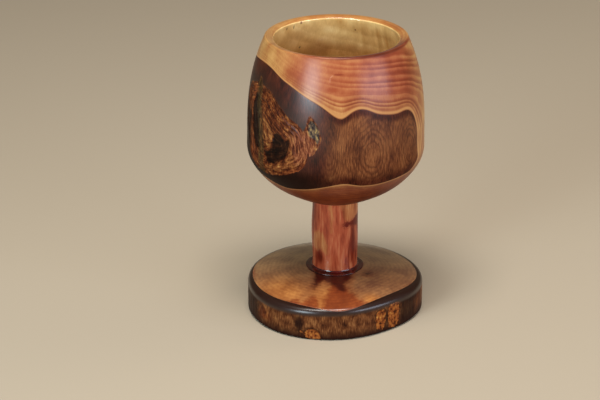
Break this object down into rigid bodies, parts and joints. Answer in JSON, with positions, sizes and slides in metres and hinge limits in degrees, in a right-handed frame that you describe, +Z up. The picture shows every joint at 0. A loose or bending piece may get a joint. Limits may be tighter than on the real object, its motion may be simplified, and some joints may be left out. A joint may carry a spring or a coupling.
{
  "type": "communion chalice",
  "caption": "Turned wooden chalice for communion: egg-shaped bowl with a patch of natural bark in its side, straight peeled-branch stem and a low domed foot with a bark edge.",
  "frame": {"origin": "on the table, below the centre of the stem, at the bottom centre of the part's bounding box", "axes": "+Z up the stem to the rim; -Y towards the front, where the bark patch runs across the bowl; +X to the right of that front"},
  "size_m": [0.081, 0.0802, 0.1312],
  "materials": {
    "bowl_wood": "lacquered",
    "bowl_bark": "lacquered",
    "stem_wood": "lacquered",
    "foot_wood": "lacquered",
    "foot_bark": "lacquered",
    "joint_resin": "gloss"
  },
  "bodies": {
    "root": {"foot": "foot_wood", "foot_bark": "foot_bark", "foot_joint_resin": "joint_resin", "stem": "stem_wood", "bowl_joint_resin": "joint_resin", "bowl": "bowl_wood", "bowl_bark": "bowl_bark"}
  },
  "joints": []
}
